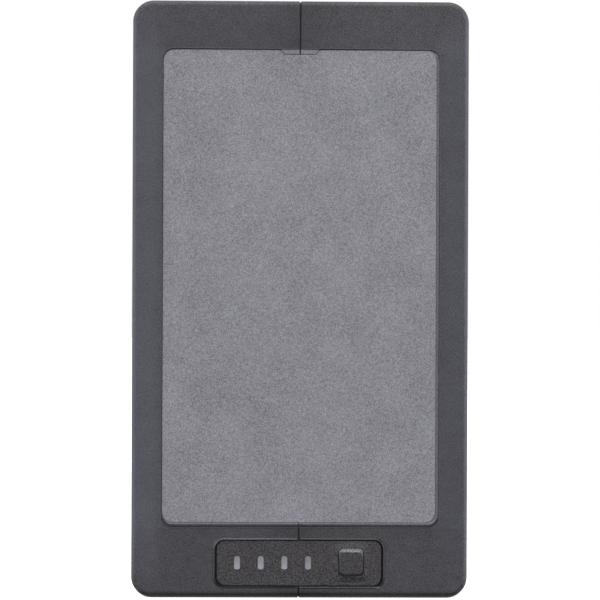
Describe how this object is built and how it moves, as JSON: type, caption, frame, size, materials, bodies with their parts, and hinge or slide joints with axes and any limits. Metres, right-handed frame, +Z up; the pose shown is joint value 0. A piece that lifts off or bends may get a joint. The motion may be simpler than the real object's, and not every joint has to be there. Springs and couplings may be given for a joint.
{
  "type": "wall battery unit",
  "caption": "Slim upright lithium battery unit in two half shells, with a blank front label, a charge display, a test button, a bottom power socket and rear keyholes.",
  "frame": {"origin": "centre of the base, on the surface that the unit stands on", "axes": "+Z up along the height, +Y towards the wall behind the unit, -Y out of the labelled front, +X to the right as seen from the front"},
  "size_m": [0.12, 0.046, 0.213],
  "materials": {
    "shell": "moulded charcoal plastic with a fine spark-eroded texture",
    "label": "matt light grey polyester film with a fine speckle, blank",
    "panel": "coarser textured near-black plastic, slightly warm",
    "frosted": "milky translucent plastic, satin",
    "rubber": "matt black elastomer",
    "steel": "zinc-plated steel",
    "nickel": "bright nickel strip",
    "brass": "bright contact brass",
    "aluminium": "satin aluminium",
    "carrier": "black flame-retardant plastic",
    "cell_wrap": "blue shrink sleeve over the can",
    "board": "green solder mask on glass laminate",
    "ferrite": "moulded powder core",
    "led": "pale moulded lens",
    "ribbon": "white flat flexible cable",
    "fuse": "clear amber fuse body",
    "red_wire": "silicone insulation",
    "black_wire": "silicone insulation",
    "foam": "closed-cell foam"
  },
  "bodies": {
    "casing": {"base_tray": "carrier", "blade_fuse": "fuse", "board_screw_left": "steel", "board_screw_right": "steel", "capacitor": "aluminium", "cell_1": "cell_wrap", "cell_2": "cell_wrap", "cell_3": "cell_wrap", "cell_4": "cell_wrap", "cell_5": "cell_wrap", "cell_6": "cell_wrap", "cell_7": "cell_wrap", "cell_8": "cell_wrap", "contact_minus": "brass", "contact_plus": "brass", "control_panel": "panel", "display_board": "board", "display_ribbon": "ribbon", "foam_pad_high": "foam", "foam_pad_low": "foam", "front_label": "label", "heat_sink": "aluminium", "lead_minus": "black_wire", "lead_plus": "red_wire", "led_1": "led", "led_2": "led", "led_3": "led", "led_4": "led", "left_shell": "shell", "light_pipe_1": "frosted", "light_pipe_2": "frosted", "light_pipe_3": "frosted", "light_pipe_4": "frosted", "low_carrier": "carrier", "main_board": "board", "mid_carrier": "carrier", "parting_seal": "rubber", "power_inductor": "ferrite", "power_socket": "carrier", "right_shell": "shell", "sense_ribbon": "ribbon", "shell_screw_left_high_front": "steel", "shell_screw_left_high_rear": "steel", "shell_screw_left_low_front": "steel", "shell_screw_left_low_rear": "steel", "shell_screw_right_high_front": "steel", "shell_screw_right_high_rear": "steel", "shell_screw_right_low_front": "steel", "shell_screw_right_low_rear": "steel", "strip_mid_left": "nickel", "strip_mid_right": "nickel", "strip_pack_minus": "nickel", "strip_pack_plus": "nickel", "strip_top": "nickel", "switch_housing": "carrier", "top_carrier": "carrier", "wall_strip_left": "rubber", "wall_strip_right": "rubber"},
    "button": {"test_button": "panel"},
    "plunger": {"switch_plunger": "led"}
  },
  "joints": [
    {"name": "button_press", "type": "slide", "parent": "casing", "child": "button", "axis": [0, 1, 0], "range_m": [0, 0.0005], "stiffness_N_per_m": 300},
    {"name": "plunger_press", "type": "slide", "parent": "casing", "child": "plunger", "axis": [0, 1, 0], "range_m": [0, 0.0005]}
  ],
  "couplings": [
    {"joint": "plunger_press", "follows": "button_press", "ratio": 1}
  ]
}
